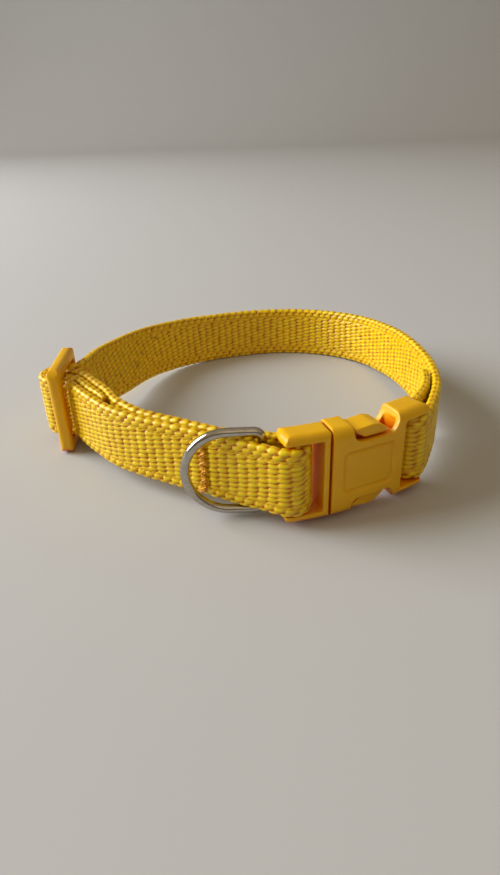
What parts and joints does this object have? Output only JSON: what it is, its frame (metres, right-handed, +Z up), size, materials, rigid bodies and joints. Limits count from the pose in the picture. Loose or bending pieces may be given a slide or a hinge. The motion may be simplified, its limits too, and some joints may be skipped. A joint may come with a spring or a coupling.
{
  "type": "cat collar",
  "caption": "Fastened collar of flat ribbed webbing with a side-release buckle, a strap adjuster and a D-shaped ring.",
  "frame": {"origin": "middle of the collar's box, at its base", "axes": "+Z up, across the webbing; -Y towards the buckle and the ring; +X towards the socket's end of the buckle"},
  "size_m": [0.081, 0.0816, 0.0182],
  "materials": {
    "webbing": "ribbed yellow nylon webbing",
    "buckle": "moulded yellow acetal",
    "ring": "nickel-plated steel wire"
  },
  "bodies": {
    "collar": {"strap": "webbing", "buckle_socket": "buckle", "buckle_plug": "buckle", "slider": "buckle"},
    "ring": {"d_ring": "ring"}
  },
  "joints": [
    {"name": "ring_swing", "type": "hinge", "parent": "collar", "child": "ring", "pos_m": [0.00428, -0.03631, 0.0091], "axis": [0, 0, 1], "range_deg": [-5, 115]}
  ]
}
